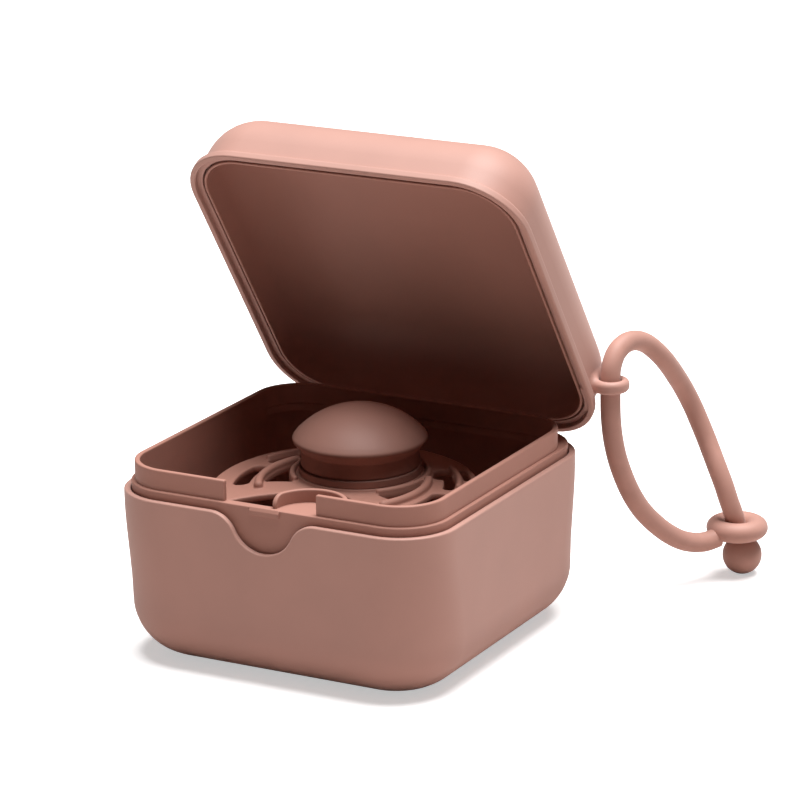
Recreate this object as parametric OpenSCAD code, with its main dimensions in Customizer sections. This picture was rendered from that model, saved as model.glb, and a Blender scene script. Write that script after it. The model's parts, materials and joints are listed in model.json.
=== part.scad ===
// Carry case for sterilizing and storing pacifiers, with its lid open.
// A square shell holds a moulded liner, and the lid is built the same way. A lift-out insert stands
// in the liner: a column, the tray's plate on it, and a mushroom knob that holds the plate down.
// The lid turns on a steel pin and carries a silicone strap.
// Millimetres, +Z up, origin at the middle of the base's underside, front towards -Y.

/* [Case] */
// Outer width of the base shell
case_w = 88; // [80:1:110]
// Outer depth of the base shell
case_d = 88; // [84:1:110]
// Height of the shell's rim above the table
rim_h = 42; // [32:1:60]
// Radius of the upright corners
corner_r = 14.4; // [14.2:0.2:20]
// Rounding between the sides and the underside
edge_r = 14; // [8:0.5:14]
// Thickness of the shell
wall = 1.6; // [1.2:0.1:2.2]
// Depth of the thumb scallop in the front rim
scallop_depth = 8.9; // [6:0.1:11]
// Radius of the scallop's bottom
scallop_r = 8.6; // [7:0.1:10]
// Radius that rolls the scallop out into the rim
flare_r = 7; // [4:0.5:9]

/* [Liner] */
// Gap between the shell and the liner
liner_gap = 0.2; // [0.1:0.05:0.4]
// Height of the pads that the liners stand on
pad_h = 0.4; // [0.3:0.1:0.6]
// Diameter of those pads
pad_d = 8; // [6:1:12]
// Distance of those pads from the middle, both ways
pad_at = 20; // [16:1:24]
// Thickness of the liner's floor
liner_floor = 2.2; // [1.6:0.1:3]
// Height of the band that shows above the shell's rim
band_h = 2; // [1.5:0.1:3]
// Height of the collar above the band
collar_h = 5; // [4:0.5:7]
// Step in from the band to the collar
collar_step = 0.95; // [0.6:0.05:1.5]
// Thickness of the collar
collar_wall = 1.3; // [1:0.1:2]
// Width of the gap in the collar's front
gap_w = 24.6; // [20:0.2:28]
// Sideways place of that gap
gap_x = 0.9; // [0:0.1:2]
// How far the side collars run back from the middle
collar_back = 33; // [28:1:34]
// Inset of the collar's rear run from the side runs' line
rear_inset = 3.5; // [3:0.1:6]
// Width of the latch tab
latch_w = 8; // [6:0.5:10]
// Height of the latch tab
latch_h = 1.9; // [1.4:0.1:2.2]
// How far the latch tab stands out from the band
latch_out = 0.35; // [0.2:0.05:0.4]
// How far the latch tab stands up from the band
latch_rise = 0.05; // [0.02:0.01:0.08]
// Inner radius of the rounded bay behind the gap
bay_r = 8.3; // [6:0.1:9]
// Thickness of the bay's wall and floor
bay_wall = 1.1; // [0.8:0.1:1.5]
// Height of the bay's wall above its floor
bay_h = 3.2; // [2:0.1:4]
// Sideways place of the bay's middle
bay_x = 10.8; // [9:0.1:12]

/* [Tray] */
// Outer radius of the tray's plate
tray_r = 32.5; // [30:0.5:34]
// Place of the plate's middle along Y
tray_y = -4.5; // [-5:0.1:-4]
// Thickness of the plate
tray_t = 1.4; // [1.2:0.1:2]
// Drop from the shell's rim to the tray's hub
tray_drop = 2; // [2:0.5:6]
// Step up from the plate to the hub
hub_step = 0.7; // [0.4:0.1:1]
// Radius of the raised hub
hub_r = 15.5; // [15.2:0.1:16]
// Place of the hub and the knob along Y
hub_y = 4.1; // [3:0.1:5]
// Outer radius of the column under the hub
column_r = 13; // [10:0.5:13]
// Thickness of the column
column_t = 2.2; // [1.8:0.1:2.6]
// Width of the shoulder that the plate rests on
shoulder_w = 1; // [0.6:0.1:1.2]
// Radius of the column's foot
foot_r = 16; // [14:0.5:20]
// Width of the arched windows in the column
window_w = 7; // [4:0.5:8]
// Radius of the notch in the tray's front
notch_r = 11.6; // [9:0.2:12.4]
// Width of a raised grid rib
rib_w = 2; // [1.5:0.1:2.2]
// Height of a raised grid rib
rib_h = 1.8; // [1.3:0.1:2.2]

/* [Knob] */
// Radius of the knob's rim
knob_r = 16.8; // [16:0.1:19]
// Radius of the knob's foot ring
knob_foot_r = 15; // [14.8:0.1:15.2]
// Radius of the knob's neck
knob_neck_r = 14.5; // [14.4:0.1:14.8]
// Radius of the groove over the foot ring
groove_r = 14.2; // [14:0.1:14.3]
// Height of the knob's rim above the hub
knob_rim_h = 8.7; // [8:0.1:12]
// Height of the dome above that rim
dome_h = 8; // [5:0.1:8]
// Clearance of the knob and the plate round the spigot
knob_fit = 0.05; // [0.02:0.01:0.1]
// Height of the spigot
spigot_h = 5; // [3:0.5:7]

/* [Lid] */
// Angle that the lid stands open at
lid_open = 55.6; // [50:0.1:60]
// Gap under the closed lid's rim, over the shell's rim
reveal = 1; // [0.6:0.1:1.5]
// Height of the lid from its rim to its top
lid_h = 21.15; // [20:0.05:30]
// Clearance between the collar and the lid's liner
lid_fit = 0.4; // [0.4:0.05:0.6]
// Thickness of the lid's liner
lid_liner_t = 1.05; // [0.8:0.05:1.6]
// Gap between the lid's liner and its shell
lid_gap = 0.15; // [0.1:0.05:0.3]
// Thickness of the lid's shell
lid_wall = 1.5; // [1.2:0.1:2]
// Rounding between the lid's sides and its top
lid_edge_r = 14; // [8:0.5:14]
// How far the rim's bead stands out
bead_out = 1.4; // [1:0.1:2]
// Width of the bead's lower face
bead_w = 1.5; // [1:0.1:1.8]
// Height of the bead
bead_h = 2.2; // [1.8:0.1:3]

/* [Hinge] */
// Radius of the hinge pin
pin_r = 0.8; // [0.6:0.05:0.9]
// Running clearance of the lid's knuckles on the pin
pin_fit = 0.05; // [0.03:0.01:0.1]
// Outer radius of the knuckles and lugs
knuckle_r = 1.9; // [1.7:0.05:1.95]
// Distance of the pin behind the shell's back
pin_back = 1.25; // [1:0.05:1.6]
// Drop of the pin below the shell's rim
pin_drop = 1.1; // [1.1:0.05:1.4]
// Half length of the pin
pin_half = 31; // [28:1:34]
// Half width of the middle lug
lug_half = 6; // [4:0.5:8]
// Inner end of each knuckle's neighbour lug
lug_from = 25; // [22:0.5:26]
// Side gap between a lug and a knuckle
knuckle_gap = 0.5; // [0.3:0.1:0.8]

/* [Strap] */
// Diameter of the silicone strap
strap_d = 5; // [3:0.1:5]
// Radius of the eyelet's hole
eyelet_hole_r = 2.7; // [2.7:0.05:3]
// Outer radius of the eyelet
eyelet_r = 4.7; // [4.2:0.1:4.7]
// Thickness of the eyelet
eyelet_t = 3.2; // [2:0.1:4]
// Distance of the eyelet's hole outside the lid's side
eyelet_out = 3.55; // [3.5:0.05:3.8]
// Radius of the ball at one end of the strap
ball_r = 5; // [4:0.1:5.4]
// Middle radius of the ring at the strap's other end
eye_r = 5.3; // [5.3:0.1:6]

/* [Hidden] */
$fn = 64;

shell_tone = [0.72, 0.55, 0.50];
liner_tone = [0.75, 0.57, 0.52];
knob_tone = [0.58, 0.40, 0.35];
strap_tone = [0.68, 0.51, 0.47];

// How far a cutter runs past what it cuts.
over = 1;

// Every upright corner turns about the same four points.
corner_x = case_w / 2 - corner_r;
corner_y = case_d / 2 - corner_r;

// Corner radii from the shell inwards; the half width of each wall is corner_x plus its radius.
shell_in_r = corner_r - wall;
shell_in_edge = edge_r - wall;
liner_r = shell_in_r - liner_gap;
liner_edge = shell_in_edge - pad_h;
liner_z = wall + pad_h;
collar_r = liner_r - collar_step;
cavity_r = collar_r - collar_wall;
cavity_z = liner_z + liner_floor;
cavity_edge = min(liner_edge - liner_floor + pad_h, cavity_r - pad_h);
band_z = rim_h + band_h;
collar_z = band_z + collar_h;

// Corner radii of the closed lid, outwards from the collar.
lid_rim_z = rim_h + reveal;
lid_top_z = lid_rim_z + lid_h;
lid_cavity_r = collar_r + lid_fit;
lid_liner_r = lid_cavity_r + lid_liner_t;
lid_in_r = lid_liner_r + lid_gap;
lid_r = lid_in_r + lid_wall;
bead_r = lid_r + bead_out;
lid_in_edge = lid_edge_r - lid_wall;
lid_liner_edge = lid_in_edge - pad_h;
lid_cavity_edge = lid_liner_edge - lid_liner_t;
lid_liner_top = lid_top_z - lid_wall - pad_h;
lid_cavity_top = lid_liner_top - lid_liner_t;
// The liner's lip stops just over the band, so that it lands there when the lid is shut.
lip_gap = 0.1;
lip_w = 0.7;
lip_h = 1.6;
bead_web = 0.9;
bead_chamfer = 0.3;
knuckle_arm = 0.6;
knuckle_top = 0.4;

hinge_y = case_d / 2 + pin_back;
hinge_z = rim_h - pin_drop;
lug_web = 0.1;
lug_root = 1;
latch_root = 1;

bay_inset = 1.6;
bay_front = 0.4;

// The tray's levels.
hub_z = rim_h - tray_drop;
plate_z = hub_z - hub_step;
foot_h = 2;
rib_sink = 0.4;
spigot_r = column_r - shoulder_w;
knob_bore_r = spigot_r + knob_fit;
window_low = 5;
window_high = 6;

// Grid of the tray, in polar places round the hub.
slot_in_r = 17.8;
rib_mid_r = 23.6;
rib_land = 0.3;
slot_out_r = rib_mid_r - rib_w / 2 - rib_land;
hub_rib_r = 16.7;
hub_rib_w = 1.4;
hub_rib_h = 1.2;
outer_slot_r = rib_mid_r + rib_w / 2 + rib_land;
notch_y = -23.3;
// Slots between the hub's rib and the outer rib: the angles of their two ends.
inner_slots = [[-41, -31], [8, 34], [146, 172], [211, 221]];
// Slots outside the outer rib: their reach from the plate's middle, and the angles of their ends.
outer_slots = [[27.2, -47, -12], [29.6, -7, 15], [29.6, 165, 187], [27.2, 192, 227]];
// What is cut from the plate's front, on the right of its middle line.
front_corner = [[-over, -60], [18.2, -60], [18.2, -33.4], [15.1, -31.9], [13.2, -30.6],
    [10.2, -32.4], [-over, -32.4]];

// The knob's levels over the hub.
knob_foot_h = 1.9;
groove_top = 2.2;
neck_top = 6;
knob_rim_t = 0.2;
knob_t = 1.6;

eyelet_back = 1.9;
eyelet_rise = 5.4;
eyelet_x = corner_x + lid_r + eyelet_out;
eyelet_y = corner_y + eyelet_back;
eyelet_z = band_z + eyelet_rise;
eyelet_lug = 3.6;
eyelet_root = lid_wall - 0.4;

// Route of the strap's lower run, from the eyelet to the ring.
lower_route = [
    [47.9, 44.5, 57], [47.9, 44.5, 53], [47.9, 44.7, 49], [48.2, 45.1, 44], [48.8, 46.1, 38.6],
    [49.7, 47.7, 33.4], [50.9, 49.8, 28.2], [52.3, 52.5, 23.5], [53.9, 55.3, 19.8],
    [56, 59.1, 15.9], [58.2, 63, 12.9], [60.2, 66.8, 11.2], [62.1, 70.3, 10.6], [63.9, 73.5, 11]
];
// Route of its upper run, from the eyelet through the ring to the ball.
upper_route = [
    [47.9, 44.5, 57], [47.7, 45.3, 61], [47.8, 47.9, 64.2], [48.5, 51.6, 65.8],
    [49.4, 55.6, 65.6], [50.4, 59.3, 64.1], [51.6, 62.4, 61.6], [52.6, 65.2, 58.8],
    [53, 68.2, 55.9], [53.2, 71.1, 53], [53.6, 73.8, 49.9], [54.3, 76, 46.5],
    [55.4, 77.5, 42.8], [56.8, 78.2, 39], [58.5, 78.3, 35.2], [60.4, 77.7, 31.6],
    [62.4, 76.9, 28], [64.2, 76.5, 24.3], [65.5, 76.7, 20.4], [66.5, 77.6, 16.5],
    [67, 78.7, 12.5], [67.5, 79.9, 8.6]
];
strap_sides = 10;
strap_side_dir = [0.874, -0.486, 0];
eye_center = [67, 78.9, 12.6];
ball_center = [67.8, 80.4, 5];

// Sweeps an outline round the four corners: x is the distance from a corner's axis, y is height.
module around() {
    for (sx = [0, 1], sy = [0, 1])
        mirror([sx, 0, 0])
            mirror([0, sy, 0])
                translate([corner_x, corner_y, 0])
                    rotate_extrude(angle = 90)
                        children();
    for (sx = [0, 1])
        mirror([sx, 0, 0])
            translate([corner_x, corner_y, 0])
                rotate([90, 0, 0])
                    linear_extrude(2 * corner_y)
                        children();
    for (sy = [0, 1])
        mirror([0, sy, 0])
            translate([-corner_x, corner_y, 0])
                rotate([90, 0, 90])
                    linear_extrude(2 * corner_x)
                        children();
}

// Half outline of a tub: flat underside, a round edge, then an upright side.
module tub_outline(r, edge, h) {
    intersection() {
        square([r, h]);
        union() {
            translate([r - edge, edge])
                circle(edge);
            square([r - edge, h]);
            translate([0, edge])
                square([r, h - edge]);
        }
    }
}

// Solid tub that stands on z.
module tub(r, edge, z, top) {
    translate([0, 0, z]) {
        around()
            tub_outline(r, edge, top - z);
        translate([-corner_x, -corner_y, 0])
            cube([2 * corner_x, 2 * corner_y, top - z]);
    }
}

// The same tub upside down, from its rim at z to its closed top.
module cap(r, edge, z, top) {
    translate([0, 0, top + z])
        mirror([0, 0, 1])
            tub(r, edge, z, top);
}

module ring(outer, inner, z, top) {
    around()
        translate([inner, z])
            square([outer - inner, top - z]);
}

module lid_pose() {
    translate([0, hinge_y, hinge_z])
        rotate([-lid_open, 0, 0])
            translate([0, -hinge_y, -hinge_z])
                children();
}

// Rod along X round the hinge's axis.
module hinge_rod(r, from, to) {
    translate([from, hinge_y, hinge_z])
        rotate([0, 90, 0])
            cylinder(r = r, h = to - from);
}

// Plate square to X: an outline in Y and Z.
module across(from, to) {
    translate([from, 0, 0])
        rotate([90, 0, 90])
            linear_extrude(to - from)
                children();
}

module pads(z) {
    for (x = [-pad_at, pad_at], y = [-pad_at, pad_at])
        translate([x, y, z])
            cylinder(d = pad_d, h = pad_h);
}

// ---- Base ----

// A round bottom that rolls out into the rim on both sides.
module scallop_outline() {
    bottom_z = rim_h - scallop_depth + scallop_r;
    lift = 0.2;
    flare_z = rim_h - flare_r + lift;
    flare_x = sqrt(pow(scallop_r + flare_r, 2) - pow(bottom_z - flare_z, 2));
    translate([0, bottom_z])
        circle(scallop_r);
    difference() {
        polygon([[0, bottom_z], [flare_x, flare_z], [flare_x, rim_h + 2], [-flare_x, rim_h + 2],
            [-flare_x, flare_z]]);
        for (side = [-1, 1])
            translate([side * flare_x, flare_z])
                circle(flare_r);
    }
}

module base_shell() {
    notch_half = pin_half + knuckle_gap;
    notch_z = hinge_z - knuckle_r - knuckle_gap;
    color(shell_tone)
        difference() {
            tub(corner_r, edge_r, 0, rim_h);
            tub(shell_in_r, shell_in_edge, wall, rim_h + over);
            translate([0, -case_d / 2 + wall + over, 0])
                rotate([90, 0, 0])
                    linear_extrude(wall + 2 * over)
                        scallop_outline();
            translate([-notch_half, case_d / 2 - wall - over, notch_z])
                cube([2 * notch_half, wall + 2 * over, rim_h]);
        }
}

// Floor and wall of the bay, with the wall's ends rounded down to the band.
module bay() {
    bay_y = -corner_y - liner_r + bay_inset;
    outer = bay_r + bay_wall;
    translate([bay_x, bay_y, 0])
        difference() {
            translate([0, 0, band_z - bay_wall])
                cylinder(r = outer, h = bay_wall + bay_h);
            translate([0, 0, band_z])
                cylinder(r = bay_r, h = bay_h + over);
            translate([-outer - over, -2 * outer, band_z - bay_wall - over])
                cube([2 * (outer + over), 2 * outer - bay_front, bay_h + bay_wall + 2 * over]);
            translate([-outer - over, -over, band_z])
                difference() {
                    cube([2 * (outer + over), bay_h + bay_front, bay_h + over]);
                    translate([-over, bay_h + bay_front, 0])
                        rotate([0, 90, 0])
                            cylinder(r = bay_h, h = 2 * (outer + 2 * over));
                }
        }
}

module collar() {
    half_x = corner_x + liner_r;
    half_y = corner_y + liner_r;
    rear_y = corner_y + collar_r - rear_inset;
    shelf_z = band_z - liner_floor;
    // Side and front runs.
    difference() {
        ring(collar_r, cavity_r, band_z, collar_z);
        translate([gap_x - gap_w / 2, -half_y - over, band_z])
            cube([gap_w, 2 * corner_r, collar_h + over]);
        translate([-half_x, collar_back, band_z])
            cube([2 * half_x, half_y, collar_h + over]);
    }
    // Rear run, set in, with the shelf that carries it.
    intersection() {
        tub(collar_r, cavity_edge, liner_z, collar_z);
        union() {
            translate([-half_x, rear_y - collar_wall, shelf_z])
                cube([2 * half_x, collar_wall, collar_z - shelf_z]);
            translate([-half_x, rear_y - collar_wall, shelf_z])
                cube([2 * half_x, half_y, liner_floor]);
        }
    }
}

module lug(from, to) {
    wall_y = corner_y + liner_r - lug_root;
    top_z = hinge_z + knuckle_r - lug_web;
    hinge_rod(knuckle_r, from, to);
    across(from, to)
        polygon([[wall_y, hinge_z - knuckle_r + lug_web], [hinge_y, hinge_z - knuckle_r + lug_web],
            [hinge_y, top_z], [wall_y, top_z]]);
}

module base_liner() {
    front_y = -corner_y - liner_r;
    color(liner_tone)
        difference() {
            union() {
                difference() {
                    tub(liner_r, liner_edge, liner_z, band_z);
                    tub(cavity_r, cavity_edge, cavity_z, band_z + over);
                }
                collar();
                bay();
                pads(wall);
                translate([-latch_w / 2, front_y - latch_out, band_z + latch_rise - latch_h])
                    cube([latch_w, latch_out + latch_root, latch_h]);
                lug(-lug_half, lug_half);
                lug(lug_from, pin_half);
                lug(-pin_half, -lug_from);
            }
            hinge_rod(pin_r, -pin_half - over, pin_half + over);
        }
}

module hinge_pin() {
    color("silver")
        hinge_rod(pin_r, -pin_half, pin_half);
}

// ---- Tray ----

// Wedge about the hub between two angles, for cutting arcs out of rings.
module wedge(from, to) {
    reach = 60;
    steps = 6;
    polygon(concat([[0, 0]], [for (i = [0:steps])
        let (a = from + (to - from) * i / steps)
        [reach * cos(a), reach * sin(a)]]));
}

module arc_slot(inner, outer, from, to) {
    intersection() {
        difference() {
            circle(outer);
            circle(inner);
        }
        wedge(from, to);
    }
    // Round ends.
    mid = (inner + outer) / 2;
    for (a = [from, to])
        translate([mid * cos(a), mid * sin(a)])
            circle((outer - inner) / 2);
}

// Slot outside the outer rib, from that rib to a circle about the plate's middle.
module crescent_slot(reach, from, to) {
    intersection() {
        difference() {
            translate([0, tray_y - hub_y])
                circle(reach);
            circle(outer_slot_r);
        }
        wedge(from, to);
    }
}

// Outline of the tray's plate, drawn about the hub.
module plate_outline() {
    difference() {
        translate([0, tray_y - hub_y])
            circle(tray_r);
        circle(knob_bore_r);
        translate([0, notch_y - hub_y])
            circle(notch_r);
        for (side = [0, 1])
            mirror([side, 0])
                polygon(front_corner);
        for (slot = inner_slots)
            arc_slot(slot_in_r, slot_out_r, slot[0], slot[1]);
        for (slot = outer_slots)
            crescent_slot(slot[0], slot[1], slot[2]);
    }
}

// Section of a ridge with a round top.
module ridge_outline(w, h) {
    translate([-w / 2, 0])
        square([w, h - w / 2]);
    translate([0, h - w / 2])
        circle(w / 2);
}

// Ridge along an arc about the hub, with round ends.
module arc_rib(r, w, h, from, to) {
    rotate([0, 0, from])
        rotate_extrude(angle = to - from)
            translate([r, 0])
                ridge_outline(w, h);
    for (end = [[from, 180], [to, 0]])
        rotate([0, 0, end[0]])
            translate([r, 0, 0])
                rotate([0, 0, end[1]])
                    rotate_extrude(angle = 180)
                        intersection() {
                            ridge_outline(w, h);
                            square([w, h]);
                        }
}

module tray_plate() {
    color(liner_tone)
        translate([0, hub_y, 0]) {
            translate([0, 0, plate_z - tray_t])
                linear_extrude(tray_t)
                    plate_outline();
            translate([0, 0, plate_z - tray_t / 2])
                linear_extrude(hub_step + tray_t / 2)
                    difference() {
                        circle(hub_r);
                        circle(knob_bore_r);
                    }
            translate([0, 0, plate_z - rib_sink]) {
                arc_rib(rib_mid_r, rib_w, rib_h + rib_sink, -42, 40);
                arc_rib(rib_mid_r, rib_w, rib_h + rib_sink, 140, 222);
                arc_rib(hub_rib_r, hub_rib_w, hub_rib_h + rib_sink, -46, 226);
            }
        }
}

module column_window(z, top) {
    translate([0, -window_w / 2, z + window_w / 2])
        cube([column_r + over, window_w, top - z - window_w]);
    for (h = [z + window_w / 2, top - window_w / 2])
        translate([0, 0, h])
            rotate([0, 90, 0])
                cylinder(d = window_w, h = column_r + over);
}

// Column on a wide foot: the plate rests on its shoulder, and the knob on its spigot.
module tray_column() {
    shoulder_z = plate_z - tray_t;
    color(liner_tone)
        translate([0, hub_y, cavity_z])
            difference() {
                union() {
                    cylinder(r = foot_r, h = foot_h);
                    cylinder(r = column_r, h = shoulder_z - cavity_z);
                    cylinder(r = spigot_r, h = hub_z + spigot_h - cavity_z);
                }
                translate([0, 0, -over])
                    cylinder(r = column_r - column_t, h = hub_z + spigot_h);
                for (a = [0:60:300])
                    rotate([0, 0, a])
                        column_window(foot_h + window_low, shoulder_z - cavity_z - window_high);
            }
}

// ---- Knob ----

module knob_outline() {
    dome_r = (knob_r * knob_r + dome_h * dome_h) / (2 * dome_h);
    dome_z = knob_rim_h + dome_h - dome_r;
    difference() {
        union() {
            square([knob_foot_r, knob_foot_h]);
            square([groove_r, neck_top]);
            translate([0, groove_top])
                square([knob_neck_r, neck_top - groove_top]);
            polygon([[0, neck_top], [knob_neck_r, neck_top], [knob_r, knob_rim_h - knob_rim_t],
                [knob_r, knob_rim_h], [0, knob_rim_h]]);
            intersection() {
                translate([0, dome_z])
                    circle(dome_r);
                translate([0, knob_rim_h - knob_rim_t / 2])
                    square([knob_r, dome_h + over]);
            }
        }
        intersection() {
            translate([0, dome_z])
                circle(dome_r - knob_t);
            translate([0, -over])
                square([knob_bore_r, knob_rim_h + dome_h]);
        }
    }
}

module lift_knob() {
    color(knob_tone)
        translate([0, hub_y, hub_z])
            rotate_extrude()
                intersection() {
                    knob_outline();
                    square([knob_r + over, knob_rim_h + dome_h + over]);
                }
}

// ---- Lid, drawn shut and then turned open ----

module bead_outline() {
    inner = bead_r - bead_w;
    web_z = lid_rim_z + bead_h - bead_web;
    top_z = lid_rim_z + bead_h;
    polygon([[inner, lid_rim_z], [bead_r - bead_chamfer, lid_rim_z],
        [bead_r, lid_rim_z + bead_chamfer], [bead_r, top_z - 2 * bead_chamfer],
        [bead_r - 2 * bead_chamfer, top_z], [lid_in_r, top_z], [lid_in_r, web_z], [inner, web_z]]);
}

// Knuckle on the pin, with the arm that hangs it from the rim.
module knuckle(from, to) {
    rim_y = corner_y + bead_r;
    hinge_rod(knuckle_r, from, to);
    across(from, to)
        polygon([[hinge_y - knuckle_r, hinge_z], [hinge_y - knuckle_r, hinge_z + knuckle_arm],
            [rim_y - bead_w, lid_rim_z + knuckle_top], [rim_y, lid_rim_z + knuckle_top],
            [hinge_y + knuckle_r, hinge_z + knuckle_top], [hinge_y + knuckle_r, hinge_z]]);
}

module eyelet_outline() {
    difference() {
        union() {
            circle(eyelet_r);
            translate([-eyelet_out - eyelet_root, -eyelet_lug])
                square([eyelet_out + eyelet_root, 2 * eyelet_lug]);
        }
        circle(eyelet_hole_r);
    }
}

module lid_shell() {
    web_z = lid_rim_z + bead_h - bead_web;
    color(shell_tone)
        lid_pose()
            difference() {
                union() {
                    difference() {
                        cap(lid_r, lid_edge_r, web_z, lid_top_z);
                        cap(lid_in_r, lid_in_edge, web_z - over, lid_top_z - lid_wall);
                    }
                    around()
                        bead_outline();
                    for (side = [0, 1])
                        mirror([side, 0, 0])
                            knuckle(lug_half + knuckle_gap, lug_from - knuckle_gap);
                    translate([eyelet_x, eyelet_y, eyelet_z])
                        rotate([lid_open, 0, 0])
                            translate([0, 0, -eyelet_t / 2])
                                linear_extrude(eyelet_t)
                                    eyelet_outline();
                }
                hinge_rod(pin_r + pin_fit, -pin_half, pin_half);
            }
}

module lid_liner() {
    edge_z = band_z + lip_gap;
    lip_r = lid_cavity_r + lip_w;
    color(liner_tone)
        lid_pose() {
            difference() {
                cap(lid_liner_r, lid_liner_edge, edge_z, lid_liner_top);
                cap(lid_cavity_r, lid_cavity_edge, edge_z - over, lid_cavity_top);
                around()
                    translate([lip_r, edge_z - over])
                        square([lid_liner_r, lip_h + over]);
            }
            pads(lid_liner_top);
        }
}

// ---- Strap ----

function unit(v) = v / norm(v);

// Direction of a route at one of its points; its ends run along their own last stretch.
function heading(route, i) = unit(
    i == 0 ? route[1] - route[0]
    : i == len(route) - 1 ? route[i] - route[i - 1]
    : unit(route[i + 1] - route[i]) + unit(route[i] - route[i - 1]));

function ring_at(route, i) = let (
    t = heading(route, i),
    u = unit(strap_side_dir - (strap_side_dir * t) * t),
    v = cross(t, u)
) [for (k = [0:strap_sides - 1])
    route[i] + strap_d / 2 * (cos(360 * k / strap_sides) * u + sin(360 * k / strap_sides) * v)];

// Tube along a route, as one closed surface with a flat cap at each end.
module strap_tube(route) {
    rings = len(route);
    n = strap_sides;
    points = [for (i = [0:rings - 1]) each ring_at(route, i)];
    sides = [for (i = [0:rings - 2], k = [0:n - 1], half = [0, 1])
        let (a = i * n + k, b = i * n + (k + 1) % n)
        half == 0 ? [a, a + n, b] : [b, a + n, b + n]];
    start = [for (k = [0:n - 1]) k];
    finish = [for (k = [0:n - 1]) (rings - 1) * n + n - 1 - k];
    polyhedron(points, concat(sides, [start, finish]));
}

module strap_lower() {
    color(strap_tone)
        strap_tube(lower_route);
}

module strap_upper() {
    color(strap_tone)
        strap_tube(upper_route);
}

module strap_eye() {
    color(strap_tone)
        translate(eye_center)
            rotate_extrude()
                translate([eye_r, 0])
                    circle(d = strap_d);
}

module strap_ball() {
    color(strap_tone)
        translate(ball_center)
            sphere(ball_r);
}

base_shell();
base_liner();
tray_plate();
tray_column();
lift_knob();
lid_shell();
lid_liner();
hinge_pin();
strap_lower();
strap_upper();
strap_eye();
strap_ball();
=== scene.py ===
import json
import math

import bmesh
import bpy
import numpy as np
from mathutils import Matrix, Vector

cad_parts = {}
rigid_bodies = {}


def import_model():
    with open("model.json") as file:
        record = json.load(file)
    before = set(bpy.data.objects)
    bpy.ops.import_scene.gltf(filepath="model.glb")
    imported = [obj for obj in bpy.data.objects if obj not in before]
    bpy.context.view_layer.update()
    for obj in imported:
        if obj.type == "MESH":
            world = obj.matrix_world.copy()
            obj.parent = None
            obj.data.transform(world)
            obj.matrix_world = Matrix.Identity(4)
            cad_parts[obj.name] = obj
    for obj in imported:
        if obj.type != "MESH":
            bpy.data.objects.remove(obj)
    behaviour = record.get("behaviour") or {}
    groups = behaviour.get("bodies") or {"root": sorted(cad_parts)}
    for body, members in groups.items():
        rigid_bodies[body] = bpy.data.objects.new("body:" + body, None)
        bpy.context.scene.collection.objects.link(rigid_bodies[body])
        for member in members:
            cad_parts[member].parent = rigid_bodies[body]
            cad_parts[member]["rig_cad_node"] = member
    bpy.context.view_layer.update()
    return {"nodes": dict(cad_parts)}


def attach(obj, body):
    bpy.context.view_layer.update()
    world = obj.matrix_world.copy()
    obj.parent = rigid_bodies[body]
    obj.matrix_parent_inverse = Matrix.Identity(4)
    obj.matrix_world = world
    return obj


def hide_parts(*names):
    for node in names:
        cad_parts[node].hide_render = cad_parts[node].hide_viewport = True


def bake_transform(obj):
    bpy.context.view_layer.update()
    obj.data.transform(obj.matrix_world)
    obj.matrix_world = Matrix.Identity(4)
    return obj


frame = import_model()
print("frame loaded:", len(frame["nodes"]), "solids")

mm = 0.001
turn = math.tau
core = 0.4  # where the flat middle of a lofted floor starts, out from the corners' axis

# camera

view = {
    "azimuth": 28.62,
    "elevation": 16.99,
    "distance": 994.0,
    "roll": -0.82,
    "aimRight": 11.79,
    "aimUp": 56.24,
    "focalPixels": 4055.0,
    "picture": 800,
    "sensor": 36,
    "clip": (0.01, 20),
}


def placeCamera(s):
    a, e, roll = (math.radians(s[k]) for k in ("azimuth", "elevation", "roll"))
    back = Vector((math.sin(a) * math.cos(e), -math.cos(a) * math.cos(e), math.sin(e)))
    right = (-back).cross(Vector((0, 0, 1))).normalized()
    up = right.cross(-back).normalized()
    place = back * s["distance"] + right * s["aimRight"] + up * s["aimUp"]
    x = right * math.cos(roll) + up * math.sin(roll)
    y = -right * math.sin(roll) + up * math.cos(roll)
    data = bpy.data.cameras.new("studioCamera")
    data.sensor_width = s["sensor"]
    data.lens = s["focalPixels"] / s["picture"] * s["sensor"]
    data.clip_start, data.clip_end = s["clip"]
    camera = bpy.data.objects.new("studioCamera", data)
    camera.matrix_world = Matrix.Translation(place * mm) @ Matrix((x, y, back)).transposed().to_4x4()
    bpy.context.scene.collection.objects.link(camera)
    bpy.context.scene.camera = camera


placeCamera(view)

# shader nodes


class Value:
    # one output of a node, usable in sums and products
    def __init__(self, shader, socket):
        self.shader, self.socket = shader, socket

    def math(self, operation, a, b):
        return self.shader.node("ShaderNodeMath", {"operation": operation}, {0: a, 1: b})

    def __add__(self, other):
        return self.math("ADD", self, other)

    def __mul__(self, other):
        return self.math("MULTIPLY", self, other)

    __radd__ = __add__
    __rmul__ = __mul__


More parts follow.
